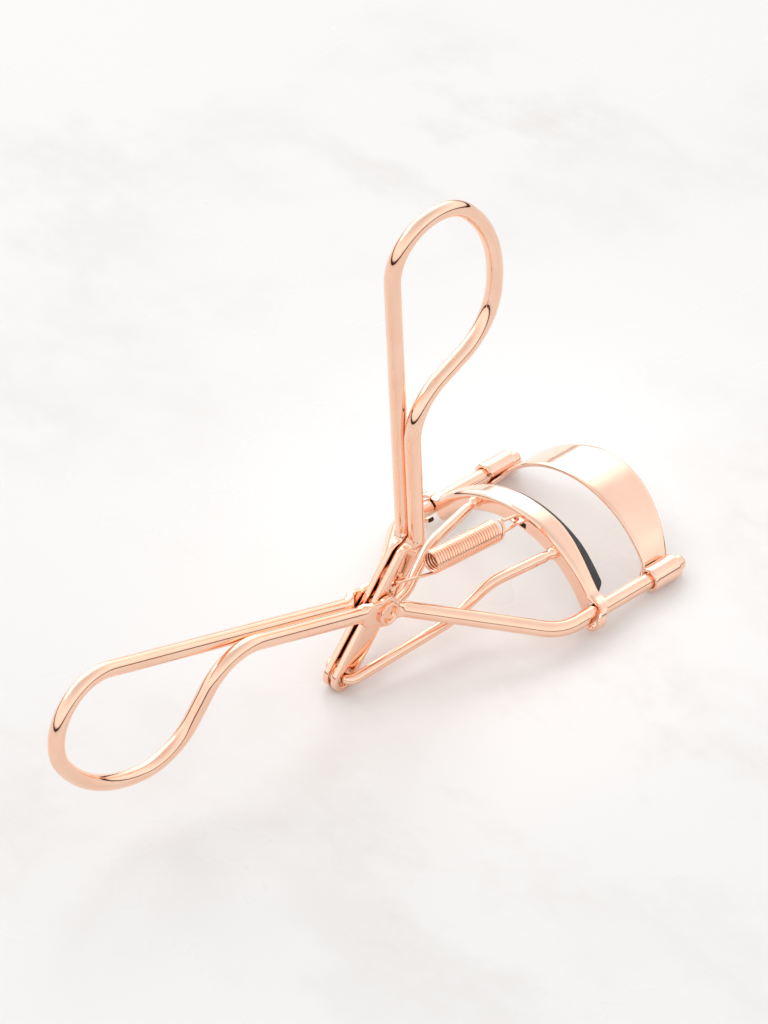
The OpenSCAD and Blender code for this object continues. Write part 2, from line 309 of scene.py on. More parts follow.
# ---------------------------------------------------------------- materials
def new_material(name):
    mat = bpy.data.materials.new(name)
    mat.use_nodes = True
    tree = mat.node_tree
    tree.nodes.clear()
    out = tree.nodes.new("ShaderNodeOutputMaterial")
    bsdf = tree.nodes.new("ShaderNodeBsdfPrincipled")
    tree.links.new(bsdf.outputs[0], out.inputs[0])
    return mat, tree, bsdf


def noise(tree, scale, detail, rough=0.5, stretch=None):
    vec = tree.nodes.new("ShaderNodeTexCoord").outputs["Object"]
    if stretch:
        mapping = tree.nodes.new("ShaderNodeMapping")
        mapping.inputs["Scale"].default_value = stretch
        tree.links.new(vec, mapping.inputs["Vector"])
        vec = mapping.outputs["Vector"]
    tex = tree.nodes.new("ShaderNodeTexNoise")
    tex.inputs["Scale"].default_value = scale
    tex.inputs["Detail"].default_value = detail
    tex.inputs["Roughness"].default_value = rough
    tree.links.new(vec, tex.inputs["Vector"])
    return tex.outputs["Fac"]


def remap(tree, value, lo, hi, out_lo, out_hi):
    node = tree.nodes.new("ShaderNodeMapRange")
    for key, v in zip(("From Min", "From Max", "To Min", "To Max"), (lo, hi, out_lo, out_hi)):
        node.inputs[key].default_value = v
    tree.links.new(value, node.inputs["Value"])
    return node.outputs["Result"]


def mix_colours(tree, fac, a, b):
    node = tree.nodes.new("ShaderNodeMix")
    node.data_type = "RGBA"
    node.inputs["A"].default_value = (*a, 1)
    node.inputs["B"].default_value = (*b, 1)
    tree.links.new(fac, node.inputs["Factor"])
    return node.outputs["Result"]


def bump(tree, height, strength, distance, normal=None):
    node = tree.nodes.new("ShaderNodeBump")
    node.inputs["Strength"].default_value = strength
    node.inputs["Distance"].default_value = distance
    tree.links.new(height, node.inputs["Height"])
    if normal is not None:
        tree.links.new(normal, node.inputs["Normal"])
    return node.outputs["Normal"]


RIPPLE_HEIGHT, GRAIN_HEIGHT = 0.00006, 0.000004


def rose_gold(name, base, deep, rough, ripple, grain=0.2):
    """Rose-gold plating: slow colour drift, uneven polish, fine ripple and polishing lines."""
    mat, tree, bsdf = new_material(name)
    bsdf.inputs["Metallic"].default_value = 1.0
    drift = noise(tree, 160, 2.0)
    tree.links.new(mix_colours(tree, remap(tree, drift, 0.3, 0.7, 0, 1), base, deep),
                   bsdf.inputs["Base Color"])
    polish = noise(tree, 900, 4.0, 0.6)
    tree.links.new(remap(tree, polish, 0.3, 0.75, *rough), bsdf.inputs["Roughness"])
    waves = noise(tree, 330, 1.0)
    lines = noise(tree, 1500, 3.0, 0.6, stretch=(0.25, 1.0, 1.0))
    n = bump(tree, waves, ripple, RIPPLE_HEIGHT)
    n = bump(tree, lines, grain, GRAIN_HEIGHT, n)
    tree.links.new(n, bsdf.inputs["Normal"])
    return mat


WIRE_GOLD = rose_gold("rose_gold_wire", (0.985, 0.675, 0.515), (0.975, 0.62, 0.455),
                      rough=(0.03, 0.08), ripple=0.25)
SHEET_GOLD = rose_gold("rose_gold_sheet", (0.98, 0.68, 0.54), (0.97, 0.63, 0.48),
                       rough=(0.04, 0.10), ripple=0.45)
SPRING_GOLD = rose_gold("rose_gold_spring", (0.98, 0.66, 0.50), (0.96, 0.58, 0.41),
                        rough=(0.10, 0.20), ripple=0.2)
STAMPED_GOLD = rose_gold("rose_gold_stamped", (0.97, 0.64, 0.49), (0.95, 0.56, 0.40),
                         rough=(0.06, 0.13), ripple=0.6, grain=0.35)

PAD_DARK, PAD_LIGHT = (0.018, 0.017, 0.019), (0.045, 0.042, 0.045)
PORE_HEIGHT, WAVE_HEIGHT = 0.00002, 0.00008


def silicone():
    """Satin silicone: a slight change of tone, fine pores and slow waves."""
    mat, tree, bsdf = new_material("pad_silicone")
    tone = noise(tree, 700, 4.0, 0.6)
    tree.links.new(mix_colours(tree, remap(tree, tone, 0.3, 0.7, 0, 1), PAD_DARK, PAD_LIGHT),
                   bsdf.inputs["Base Color"])
    dust = noise(tree, 2600, 2.0)
    tree.links.new(remap(tree, dust, 0.35, 0.7, 0.42, 0.62), bsdf.inputs["Roughness"])
    n = bump(tree, noise(tree, 4200, 3.0, 0.65), 0.25, PORE_HEIGHT)
    n = bump(tree, noise(tree, 500, 1.0), 0.3, WAVE_HEIGHT, n)
    tree.links.new(n, bsdf.inputs["Normal"])
    return mat


PAD = silicone()

# ---------------------------------------------------------------- frame and lever wires
# A finger loop: a tight bend at the tip, a wide side, the back's bend, a straight return and the
# neck's counter-bend. The return's length follows from closing the loop on the straight strand.
TIP_R, SIDE_R, BACK_R, NECK_R = 8.5, 22.0, 10.0, 8.4
TIP_TURN, BACK_TURN, SIDE_TURN = 140.0, 66.0, 10.0
NECK_TURN = SIDE_TURN + BACK_TURN
LOOP_W = TIP_R * (1 - cosd(TIP_TURN)) + SIDE_R * (cosd(TIP_TURN) + 1)
LOOP_T = (TIP_R - SIDE_R) * sind(TIP_TURN)
TURNED_W = SIDE_R * (1 - cosd(SIDE_TURN)) + BACK_R * (cosd(SIDE_TURN) - cosd(NECK_TURN))
RETURN_LEN = (LOOP_W - TURNED_W - NECK_R * (1 - cosd(NECK_TURN))) / sind(NECK_TURN)
RETURN_T = (SIDE_R * sind(SIDE_TURN) + BACK_R * (sind(NECK_TURN) - sind(SIDE_TURN))
            + RETURN_LEN * cosd(NECK_TURN) + NECK_R * sind(NECK_TURN))


def handle_points(start, lead_in, reach, inner, lead_out):
    """Plane points (x, w, side): side is +1 on the straight strand, -1 on the returning one."""
    out = chain_path(start, lead_in + [[0, reach - inner], [TIP_R, TIP_TURN],
                                       [SIDE_R, 180 - TIP_TURN]])
    back = chain_path(out[-1], [[SIDE_R, SIDE_TURN], [BACK_R, BACK_TURN], [0, RETURN_LEN],
                                [-NECK_R, NECK_TURN], [0, reach + LOOP_T - RETURN_T - inner]]
                      + lead_out)
    return [(x, w, 1) for x, w, _ in out] + [(x, w, -1) for x, w, _ in back[1:]]


def place(pts, angle, base=(0.0, 0.0), belly=1.0):
    """Plane handle points to the tool frame, each strand leaning to its own side.

    A belly of -1 turns the loop over, to bulge the other way.
    """
    c, s = math.cos(angle), math.sin(angle)
    out = []
    for x, w, side in pts:
        y = side * STRAND_Y * (1 - max(w, 0.0) / LOOP_W)
        w *= belly
        out.append(Vector((base[0] + x * c - w * s, y, base[1] + x * s + w * c)))
    return out


EASE_ROUNDS, EASE_WITHIN = 12, 0.9 * STRAND_Y


def ease_sides(pts):
    """Softens the small kink where the two leaning halves of a loop meet."""
    for _ in range(EASE_ROUNDS):
        ys = [p.y for p in pts]
        for i in range(1, len(pts) - 1):
            if abs(ys[i]) < EASE_WITHIN:
                pts[i].y = (ys[i - 1] + ys[i] * 2 + ys[i + 1]) / 4
    return pts


# A section is (half height, inner y, outer y, squareness), on a strand centred on STRAND_Y.
ROUND = (WIRE, STRAND_Y - WIRE, STRAND_Y + WIRE, 2.0)
WIRE_SIDES = 36


def wire_ring(half, y_in, y_out, n, side):
    mid = (y_in + y_out) / 2 - STRAND_Y
    return squircle(half, (y_out - y_in) / 2, n, WIRE_SIDES, dv=side * mid)


def flattened(f, flat):
    """The section between the round wire, f = 0, and a flat one, f = 1."""
    return (*(mix(r, t, f) for r, t in zip(ROUND[:3], flat)), mix(ROUND[3], flat[3], f ** 0.5))


def resampled(pts, ranges):
    """Adds points where the distance along the path lies in (start, end, step) ranges."""
    s = lengths(pts)
    keep = set(s)
    for lo, hi, step in ranges:
        keep = {v for v in keep if not lo < v < hi}
        n = math.ceil((hi - lo) / step)
        keep |= {lo + (hi - lo) * k / n for k in range(n + 1)}
    out, i = [], 0
    for v in sorted(k for k in keep if 0 <= k <= s[-1]):
        while i < len(s) - 2 and s[i + 1] < v:
            i += 1
        f = (v - s[i]) / max(1e-9, s[i + 1] - s[i])
        out.append(pts[i].lerp(pts[i + 1], max(0.0, min(1.0, f))))
    return out


def rounded_end(d, span):
    """Radius factor at distance d from the end of a wire that is rounded over a span."""
    if d >= span:
        return 1.0
    return math.sqrt(max(0.0, 1 - (1 - d / span) ** 2)) * 0.98 + 0.02


# The stamped eye round the rivet and the flats beside it. A flat has a length, a fade into the
# round wire, a half height, the length of that height and the length of its fade.
EYE_R, EYE_IN_Y, EYE_SQUARENESS = 2.7, 1.5, 5.0
HANDLE_FLAT = (4.0, 1.1, 2.05, 3.4, 2.6)
ARM_FLAT = (2.2, 2.0, 2.0, 1.4, 1.9)
FLAT_END_HANDLE, FLAT_END_ARM = 7.0, 6.0
FRAME_REACH, FRAME_LEAD = 58.6, 2.0     # from the pivot to the loop's tip bend, and to its start
ARM_BEND = (1.9, STRAND_Y, -0.53)       # where the arm leaves the flat
ROD_BEND_X = 23.8                       # where the arm turns into the guide rod
FINE = 0.16                             # point spacing where the section changes


def frame_section(d):
    """The wire's section at a distance from an eye's centre, positive towards the handle."""
    if d > FLAT_END_HANDLE or d < -FLAT_END_ARM:
        return ROUND
    flat_len, flat_fade, high, high_len, high_fade = HANDLE_FLAT if d >= 0 else ARM_FLAT
    flat = 1 - smooth((abs(d) - flat_len) / flat_fade)
    half = mix(WIRE, high, 1 - smooth((abs(d) - high_len) / high_fade))
    eye = math.sqrt(max(0.0, EYE_R ** 2 - d * d))
    return (max(half, eye), mix(STRAND_Y - WIRE, EYE_IN_Y, flat), STRAND_Y + WIRE,
            mix(2.0, EYE_SQUARENESS, smooth(flat * 1.4)))


def frame_wire():
    """Left guide rod, arm and eye, the finger loop, then the right eye, arm and rod."""
    handle = ease_sides(place(
        handle_points((FRAME_LEAD, 0.0, 0.0), [], FRAME_REACH, FRAME_LEAD, []), FRAME_ANGLE))

    def arm(side, joint):
        corners = ((ROD_TIP, ROD_Y, ROD_Z), (ROD_BEND_X, ROD_Y, ROD_Z), ARM_BEND)
        return filleted([mirrored(p, side) for p in corners] + [joint], [9.0, 3.0],
                        step=4.0)[:-1]

    def places(path):
        """Distances along the wire to each point, the left eye, the right eye and the end."""
        s = lengths(path)
        eyes = [min(zip(path, s), key=lambda q: (q[0] - Vector((0, y, 0))).length)[1]
                for y in (STRAND_Y, -STRAND_Y)]
        return s, *eyes, s[-1]

    path = arm(1, handle[0]) + handle + arm(-1, handle[-1])[::-1]
    _, left, right, total = places(path)
    path = resampled(path, [(0, 2.4, FINE), (left - 5, left + 7, FINE),
                            (right - 7, right + 5, FINE), (total - 2.4, total, FINE)])
    s, left, right, total = places(path)
    rings = []
    for v in s:
        side = -1 if abs(v - right) < 12 else 1
        ring = wire_ring(*frame_section(v - left if side > 0 else right - v), side)
        end = min(v, total - v)
        if end < 1.0:                      # the rods' tips are rounded
            k = rounded_end(end, 1.0)
            ring = [(u * k, w * k) for u, w in ring]
        rings.append(ring)
    verts, faces = sweep(path, lateral_frames(path), rings)
    piece("frame_wire", verts, faces, "frame", WIRE_GOLD,
          ("frame_handle", "frame_arm_right", "frame_arm_left"), sharp=50)


def along_plate(s, side=0.0):
    """A point s along the lever plates' line, above the pivot for a positive s."""
    return Vector((s * math.cos(PLATE_ANGLE), side, s * math.sin(PLATE_ANGLE)))


PLATE_HALF, PLATE_IN_Y, PLATE_OUT_Y, PLATE_SQUARENESS = 2.4, 0.3, 1.4, 7.0
LEVER_REACH, LEVER_BEND_R = 50.6, 4.0
LEVER_HOLES = ((-LINK_HOLE_S, 1.45), (0.0, 1.16), (SPRING_HOLE_S, 0.85))


def lever_wire():
    """Left plate, the finger loop, right plate, with the plates' three holes."""
    turn = LEVER_ANGLE - PLATE_ANGLE
    bend = math.degrees(turn)
    lead = LEVER_BEND_R * math.tan(turn / 2)
    base = along_plate(BEND_S)
    start = (-lead * math.cos(turn), -lead * math.sin(turn), turn)
    handle = ease_sides(place(
        handle_points(start, [[-LEVER_BEND_R, bend]], LEVER_REACH, lead, [[LEVER_BEND_R, bend]]),
        LEVER_ANGLE, (base.x, base.z), belly=-1.0))
    for p in handle[:12] + handle[-12:]:   # both ends lie flat against the plates' plane
        p.y = math.copysign(max(abs(p.y), STRAND_Y * 0.999), p.y)
    foot = -LINK_HOLE_S - PLATE_HALF
    path = [along_plate(foot, STRAND_Y)] + handle + [along_plate(foot, -STRAND_Y)]
    total = lengths(path)[-1]
    plate = (path[0] - path[1]).length
    path = resampled(path, [(0, 2.6, 0.1), (2.6, plate - 1.5, 1.2),
                            (plate - 1.5, plate + 4.0, FINE),
                            (total - plate - 4.0, total - plate + 1.5, FINE),
                            (total - plate + 1.5, total - 2.6, 1.2),
                            (total - 2.6, total, 0.1)])
    s = lengths(path)
    total = s[-1]
    rings = []
    for v in s:
        d = min(v, total - v)
        past = d - plate                   # past the top of the straight plate
        f = 1 - smooth((past + 0.9) / 3.2)
        half, *rest = flattened(f, (PLATE_HALF, PLATE_IN_Y, PLATE_OUT_Y, PLATE_SQUARENESS))
        if f > 0.02:
            half = mix(WIRE, PLATE_HALF, 1 - smooth((past + 1.3) / 2.6))
        if d < PLATE_HALF:                 # the foot is a half circle
            half *= max(0.06, math.sqrt(max(0.0, 1 - (1 - d / PLATE_HALF) ** 2)))
        rings.append(wire_ring(half, *rest, 1 if v < total / 2 else -1))
    verts, faces = sweep(path, lateral_frames(path), rings)
    obj = piece("lever_wire", verts, faces, "lever", WIRE_GOLD,
                ("lever_handle", "lever_plate_right", "lever_plate_left"), sharp=50)
    for hole_s, r in LEVER_HOLES:
        at = along_plate(hole_s)
        for lo, hi in ((-1.55, -0.15), (0.15, 1.55)):
            cut(obj, *cylinder_mesh((at.x, lo, at.z), (at.x, hi, at.z), r, 48, 0.28, 0.28),
                sharp=50)


frame_wire()
lever_wire()


# ---------------------------------------------------------------- rivet
def lathe(profile, origin, axis, sides=64):
    """A closed solid turned from (distance along the axis, radius) points."""
    axis = Vector(axis).normalized()
    e1 = axis.orthogonal().normalized()
    e2 = axis.cross(e1)
    origin = Vector(origin)
    verts = []
    for d, r in profile:
        for k in range(sides):
            a = 2 * math.pi * k / sides
            verts.append(origin + axis * d + (e1 * math.cos(a) + e2 * math.sin(a)) * max(r, 0.01))
    return verts, grid_faces(len(profile), sides)


def arc_profile(cd, cr, r, a0, a1, n):
    """Points of an arc of radius r about (cd, cr), for a lathe."""
    return [(cd + r * sind(a0 + (a1 - a0) * k / n), cr + r * cosd(a0 + (a1 - a0) * k / n))
            for k in range(n + 1)]


def rivet():
    """Towards +d the rolled head with its open barrel, towards -d the domed factory head."""
    face, head_r, head_high, shank_r = 2.68, 2.05, 0.62, 1.1
    profile = [(-face - head_high, 0.0)]
    profile += [(-face - head_high * cosd(a), head_r * sind(a)) for a in range(12, 91, 13)]
    profile += [(-face, head_r), (-face, shank_r), (face, shank_r), (face, 1.9)]
    profile += arc_profile(face + 0.34, 1.74, 0.36, 0, 170, 14)[1:]
    profile += [(face + 0.1, 1.28), (face - 0.2, 1.12), (face - 0.6, 1.04), (face - 1.2, 0.98),
                (face - 1.5, 0.8), (face - 1.55, 0.4), (face - 1.55, 0.0)]
    verts, faces = lathe(profile, (0, 0, 0), (0, -1, 0))
    piece("pivot_rivet_turned", verts, faces, "frame", STAMPED_GOLD,
          ("pivot_rivet",), sharp=60)


rivet()

# ---------------------------------------------------------------- link
LINK_WIRE, LINK_END = 0.9, 0.8          # the wire's radius, and its share of it at the ends
BALL_R = 1.02
KNUCKLE = Vector((JAW_X - 0.4, 8.5, -0.4))
LINK_CORNERS = ((18.9, 6.5, -1.45), (12.5, 4.8, -6.6), (-6.91, 2.38, -10.05))


def link():
    half = [KNUCKLE] + [Vector(p) for p in LINK_CORNERS]
    path = filleted(half + [mirrored(p) for p in half[::-1]], [7.0, 4.5, 1.3, 1.3, 4.5, 7.0],
                    step=8, straight_step=2.0)
    total = lengths(path)[-1]
    path = resampled(path, [(0, 3.2, FINE), (total - 3.2, total, FINE)])
    s = lengths(path)
    total = s[-1]
    rings = []
    for v in s:
        d = min(v, total - v)
        k = LINK_WIRE * mix(LINK_END, 1.0, smooth((d - 0.6) / 1.4))
        rings.append(squircle(k, k, 2, 28))
    verts, faces = sweep(path, transported_frames(path, (0, 0, 1)), rings)
    ball = [(-BALL_R, 0.0)] + [(-BALL_R * cosd(a), BALL_R * sind(a)) for a in range(12, 179, 12)]
    ball += [(BALL_R, 0.0)]
    for side in (1, -1):                   # peened balls in the jaw's web
        v, f = lathe(ball, mirrored(KNUCKLE, side), (1, 0, 0), 32)
        faces += [tuple(i + len(verts) for i in face) for face in f]
        verts += v
    piece("link_bent_wire", verts, faces, "link", WIRE_GOLD, ("link_wire",), sharp=60)


link()


# ---------------------------------------------------------------- sheet jaws
EDGE_STEPS, EDGE_ROUND = 5, 0.7          # a sheet's rounded edge: its steps and how full it is


def strip_section(line, thick):
    """Closed outline of a sheet of a given thickness along a plane line, with rounded edges."""
    pts = [Vector(p) for p in line]
    tang = tangents(pts)
    normal = [Vector((-t.y, t.x)) for t in tang]
    h = thick / 2
    out = [p + n * h for p, n in zip(pts, normal)]
    for k in range(1, EDGE_STEPS):
        a = math.pi * k / EDGE_STEPS
        out.append(pts[-1] + normal[-1] * h * math.cos(a)
                   + tang[-1] * h * EDGE_ROUND * math.sin(a))
    out += [p - n * h for p, n in zip(pts[::-1], normal[::-1])]
    for k in range(1, EDGE_STEPS):
        a = math.pi * k / EDGE_STEPS
        out.append(pts[0] - normal[0] * h * math.cos(a)
                   - tang[0] * h * EDGE_ROUND * math.sin(a))
    return out


UPPER_R, UPPER_CZ = 18.42, -16.27       # the arch's middle surface
UPPER_SAG, UPPER_CROWN_X = 5.4, 54.0    # its front edge curves back this much towards the rods
ROLL_R, ROLL_TURN, ROLL_BLEND = 1.70, 304.0, 6.5


def upper_jaw():
    """The arched visor: its sheet runs down the arch, under each rod, round it and back."""
    front_r = (ROD_Y ** 2 + UPPER_SAG ** 2) / (2 * UPPER_SAG)
    meet = math.degrees(math.atan2(ROD_Y, ROD_Z - UPPER_CZ))       # arch angle towards the rod
    arch_n, roll_n, across = 96, 46, 14
    line = []                    # (y, z, normal y, normal z, 0 on the arch to 1 on the roll)
    for k in range(arch_n + 1):
        a = -meet + 2 * meet * k / arch_n
        line.append((UPPER_R * sind(a), UPPER_CZ + UPPER_R * cosd(a), sind(a), cosd(a),
                     smooth((abs(a) - meet + ROLL_BLEND) / ROLL_BLEND)))

    def roll(side):
        """The roll meets the arch from outside, so its normals turn the other way."""
        first = math.degrees(math.atan2(UPPER_CZ - ROD_Z, ROD_Y))
        out = []
        for k in range(1, roll_n + 1):
            a = first - ROLL_TURN * k / roll_n
            out.append((side * (ROD_Y - ROLL_R * cosd(a)), ROD_Z + ROLL_R * sind(a),
                        side * cosd(a), -sind(a), 1.0))
        return out

    line = roll(-1)[::-1] + line + roll(1)
    verts = []
    for y, z, ny, nz, f in line:
        bow = math.sqrt(max(0.0, front_r ** 2 - min(abs(y), ROD_Y) ** 2))
        front = mix(UPPER_CROWN_X - front_r + bow, BARREL_END, f)
        rear = mix(UPPER_X + 0.25, BARREL_X, f)
        sec = strip_section([(rear + (front - rear) * k / across, 0.0)
                             for k in range(across + 1)], SHEET)
        verts.extend(Vector((p.x, y + ny * p.y, z + nz * p.y)) for p in sec)
    piece("upper_jaw_visor", verts, grid_faces(len(line), len(sec)), "frame", SHEET_GOLD,
          ("upper_jaw",))


upper_jaw()


def on_jaw(x, r, phi):
    """A point of the moving jaw's arch: r from its axis, at an angle from the crown."""
    return Vector((x, r * sind(phi), JAW_CZ + r * cosd(phi)))


BULGE, BULGE_FROM, BULGE_OVER = 2.25, 49.5, 7.8
JAW_SPAN, JAW_DEPTH, JAW_CORNER = 55.6, 3.4, 0.5
# How far each flange reaches ahead of JAW_X: at the crown, at the sides, at the eyelets.
OUT_CROWN, OUT_SIDE, OUT_END = 3.55, 2.1, 1.3
IN_CROWN, IN_END = 2.6, 1.4
ROD_HOLE_R, KNUCKLE_HOLE_R = 1.62, 0.84


def flange_r(phi):
    """The outer flange's radius, which grows towards the eyelet."""
    return JAW_R - SHEET / 2 + BULGE * smooth((abs(phi) - BULGE_FROM) / BULGE_OVER)


def moving_jaw():
    """An arched channel, outer flange, web and inner flange, with the openings in its web."""
    n, b = 110, JAW_CORNER
    web = JAW_X + SHEET / 2
    r_in = JAW_R - JAW_DEPTH + SHEET / 2
    corner = (18, 36, 54, 72, 90)
    verts = []
    for k in range(n + 1):
        phi = -JAW_SPAN + 2 * JAW_SPAN * k / n
        r_out = flange_r(phi)
        front_out = mix(JAW_X + OUT_CROWN, JAW_X + OUT_SIDE, smooth((abs(phi) - 14) / 34))
        front_out = mix(front_out, JAW_X + OUT_END, smooth((abs(phi) - 52) / 5))
        front_in = mix(JAW_X + IN_CROWN, JAW_X + IN_END, smooth((abs(phi) - 44) / 8))
        line = [(front_out - (front_out - web - b) * i / 6, r_out) for i in range(7)]
        line += [(web + b - b * sind(a), r_out - b + b * cosd(a)) for a in corner]
        line += [(web, mix(r_out - b, r_in + b, i / 5)) for i in range(1, 5)]
        line += [(web + b - b * cosd(a), r_in + b - b * sind(a)) for a in (0, *corner)]
        line += [(web + b + (front_in - web - b) * i / 4, r_in) for i in range(1, 5)]
        sec = strip_section(line, SHEET)
        verts.extend(on_jaw(p.x, p.y, phi) for p in sec)
    obj = piece("moving_jaw_channel", verts, grid_faces(n + 1, len(sec)), "jaw", SHEET_GOLD,
                ("moving_jaw",))
    for side in (1, -1):
        rod_y = side * ROD_Y
        cut(obj, *cylinder_mesh((25, rod_y, ROD_Z), (40, rod_y, ROD_Z), ROD_HOLE_R, 64))
        hole = mirrored(KNUCKLE, side)
        cut(obj, *cylinder_mesh(hole - Vector((0.5, 0, 0)), hole + Vector((2.2, 0, 0)),
                                KNUCKLE_HOLE_R, 40))
    # The window that the lug was lanced from.
    cut(obj, *box_mesh((JAW_X - 0.3, SPRING_Y - 1.35, 0.55), (JAW_X + 1.0, SPRING_Y + 1.05, 1.5)))


moving_jaw()

HOOK_R, HOOK_FROM, HOOK_TURN = 2.06, 142.0, 158.0
EYELET_SHEET = SHEET * 0.96
# Its edges, from JAW_X: on the flange, on the hook, and the rear one again at the hook's tip.
REAR_FLANGE, REAR_HOOK, REAR_TIP = 0.2, -1.35, -0.7
FRONT_FLANGE, FRONT_HOOK = 1.2, 0.1


def eyelet(side, name):
    """The hooked end of the jaw: a curled strip from the flange over the rod's outer side."""
    pts = []
    for k in range(5):                      # overlaps the flange, then curls round
        phi = 53.6 + 0.8 * k
        pts.append((flange_r(phi) * sind(phi), JAW_CZ + flange_r(phi) * cosd(phi)))
    for k in range(34):
        a = HOOK_FROM + HOOK_TURN * k / 33
        pts.append((ROD_Y + EYELET_OFF - HOOK_R * cosd(a), ROD_Z - EYELET_OFF + HOOK_R * sind(a)))
    verts = []
    for i, (y, z) in enumerate(pts):
        ya, za = pts[max(0, i - 1)]
        yb, zb = pts[min(len(pts) - 1, i + 1)]
        t = Vector((yb - ya, zb - za)).normalized()
        f = i / (len(pts) - 1)
        rear = mix(JAW_X + REAR_FLANGE, JAW_X + REAR_HOOK, smooth(f * 3.4))
        rear = mix(rear, JAW_X + REAR_TIP, smooth((f - 0.8) * 5))
        front = mix(JAW_X + FRONT_FLANGE, JAW_X + FRONT_HOOK, smooth(f * 3.4))
        sec = strip_section([(rear + (front - rear) * q / 8, 0.0) for q in range(9)],
                            EYELET_SHEET)
        verts.extend(Vector((p.x, side * (y - t.y * p.y), z + t.x * p.y)) for p in sec)
    piece(name, verts, grid_faces(len(pts), len(sec)), "jaw", SHEET_GOLD)


eyelet(-1, "moving_jaw_eyelet_right")
eyelet(1, "moving_jaw_eyelet_left")

LUG_HALF, LUG_SHEET, LUG_HOLE_R = 1.05, 0.46, 0.5


def lug():
    """The tab lanced out of the web, with the hole for the spring's hook."""
    z0, n = LUG_HOLE.z, 14
    sec = strip_section([(JAW_X + x, z0 + z) for x, z in (
        (0.5, 0.1), (0.1, 0.05), (-0.5, 0), (-1.0, 0), (-1.3, 0), (-1.6, 0.06))], LUG_SHEET)
    verts = []
    for k in range(n + 1):
        y = -LUG_HALF + 2 * LUG_HALF * k / n
        edge = abs(y) / LUG_HALF
        shrink = 1 - 0.06 * smooth((edge - 0.8) * 5)
        round_end = (1 - math.sqrt(max(0.0, 1 - edge ** 2 * 0.75))) * 0.9
        verts.extend(Vector((p.x + round_end * smooth((JAW_X - 0.6 - p.x) / 0.9), SPRING_Y + y,
                             z0 + (p.y - z0) * shrink)) for p in sec)
    obj = piece("moving_jaw_lug", verts, grid_faces(n + 1, len(sec)), "jaw", SHEET_GOLD)
    cut(obj, *cylinder_mesh((LUG_HOLE.x, SPRING_Y, z0 - 0.6), (LUG_HOLE.x, SPRING_Y, z0 + 0.7),
                            LUG_HOLE_R, 32, 0.15, 0.4), sharp=35)


lug()

PAD_SPAN, PAD_LO, PAD_HI, PAD_CORNER = 53.0, 18.72, 20.68, 0.4
PAD_CROWN, PAD_SIDE, PAD_END = 35.98, 35.5, 34.0     # where its front face stands


def pad():
    """The soft pad: seated in the channel, with a crowned front that stands proud."""
    n, back, c = 106, JAW_X + SHEET + 0.02, PAD_CORNER
    mid, half = (PAD_LO + PAD_HI) / 2, (PAD_HI - PAD_LO) / 2
    verts = []
    for k in range(n + 1):
        phi = -PAD_SPAN + 2 * PAD_SPAN * k / n
        edge = smooth((abs(phi) - (PAD_SPAN - 6)) / 6)
        front = mix(mix(PAD_CROWN, PAD_SIDE, smooth((abs(phi) - 26) / 22)), PAD_END, edge)
        half_f = half * mix(1.0, 0.7, edge) - c
        ring = [(back, mix(PAD_LO, PAD_HI, q / 4)) for q in range(5)]
        ring += [(mix(back, front - c, q / 5), mix(PAD_HI, mid + half_f + c, smooth(q / 5)))
                 for q in range(1, 5)]
        for q in range(13):                 # rounded corners with a slightly crowned face
            a = 90 - 180 * q / 12
            up = half_f * math.copysign(1, a) if abs(a) > 1 else 0.0
            crown = 0.12 if abs(a) < 1 else 0.0
            ring.append((front - c + c * cosd(a) + crown, mid + up + c * sind(a)))
        ring += [(mix(front - c, back, q / 5), mix(mid - half_f - c, PAD_LO, smooth(q / 5)))
                 for q in range(1, 5)]
        verts.extend(on_jaw(x, r, phi) for x, r in ring)
    obj = piece("lash_pad_moulded", verts, grid_faces(n + 1, len(ring)), "jaw", PAD,
                ("lash_pad",), sharp=60)


pad()

# ---------------------------------------------------------------- spring
SPRING_HOLE = along_plate(SPRING_HOLE_S)
SPRING_DIR = (LUG_HOLE - SPRING_HOLE).normalized()
SPRING_UP = Vector((-SPRING_DIR.z, 0, SPRING_DIR.x))
SPAN = (LUG_HOLE - SPRING_HOLE).length
COIL_START, COIL_LEN, COIL_TURNS = 7.9, 14.8, 25
COIL_MEAN, COIL_WIRE = 1.675, 0.275     # the coil's mean radius and its wire's radius


def on_spring(x, y, z):
    """A point at x along the spring's line, y to the left and z above it."""
    return SPRING_HOLE + SPRING_DIR * x + Vector((0, 1, 0)) * y + SPRING_UP * z


def leg(name, path, radius, body, node):
    """A length of the spring's wire whose far end is rounded."""
    s = lengths(path)
    rings = [squircle(k, k, 2, 12) for k in
             (radius * rounded_end(s[-1] - v, COIL_WIRE) for v in s)]
    verts, faces = sweep(path, transported_frames(path, SPRING_UP), rings)
    piece(name, verts, faces, body, SPRING_GOLD, (node,), sharp=60)


